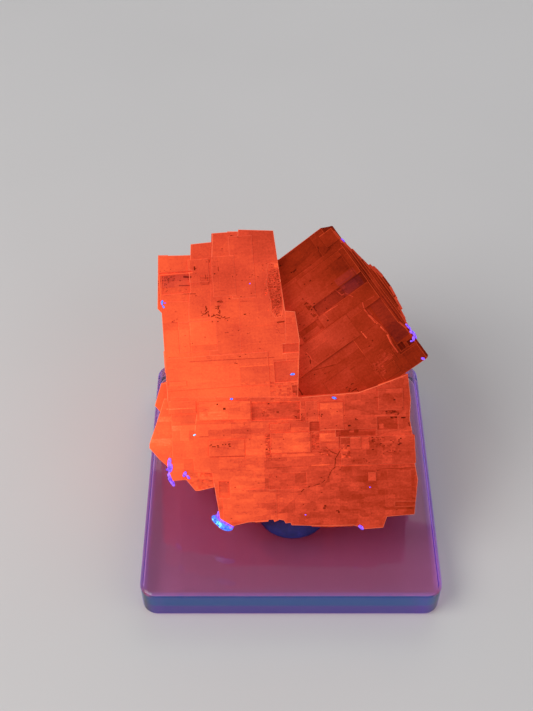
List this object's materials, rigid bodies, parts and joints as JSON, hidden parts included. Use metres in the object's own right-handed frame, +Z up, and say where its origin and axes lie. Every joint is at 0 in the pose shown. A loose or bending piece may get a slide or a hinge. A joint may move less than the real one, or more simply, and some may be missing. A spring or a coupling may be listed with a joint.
{
  "type": "halite crystal cluster on display base",
  "caption": "Orange halite cluster of intergrown stepped cubes, one tilted, leaning back on a clear rounded square acrylic display base with a dab of putty.",
  "frame": {"origin": "centre of the acrylic base's underside", "axes": "+Z up; the specimen's main face looks towards -Y and up; +X to the viewer's right"},
  "size_m": [0.064, 0.076, 0.0587],
  "materials": {
    "halite": "translucent orange salt crystal that glows under ultraviolet light, cleaved faces",
    "acrylic": "clear polished acrylic with a faint lilac tint",
    "putty": "matte pressed putty"
  },
  "bodies": {
    "root": {"halite": "halite", "acrylic_base": "acrylic", "mounting_putty": "putty"}
  },
  "joints": []
}
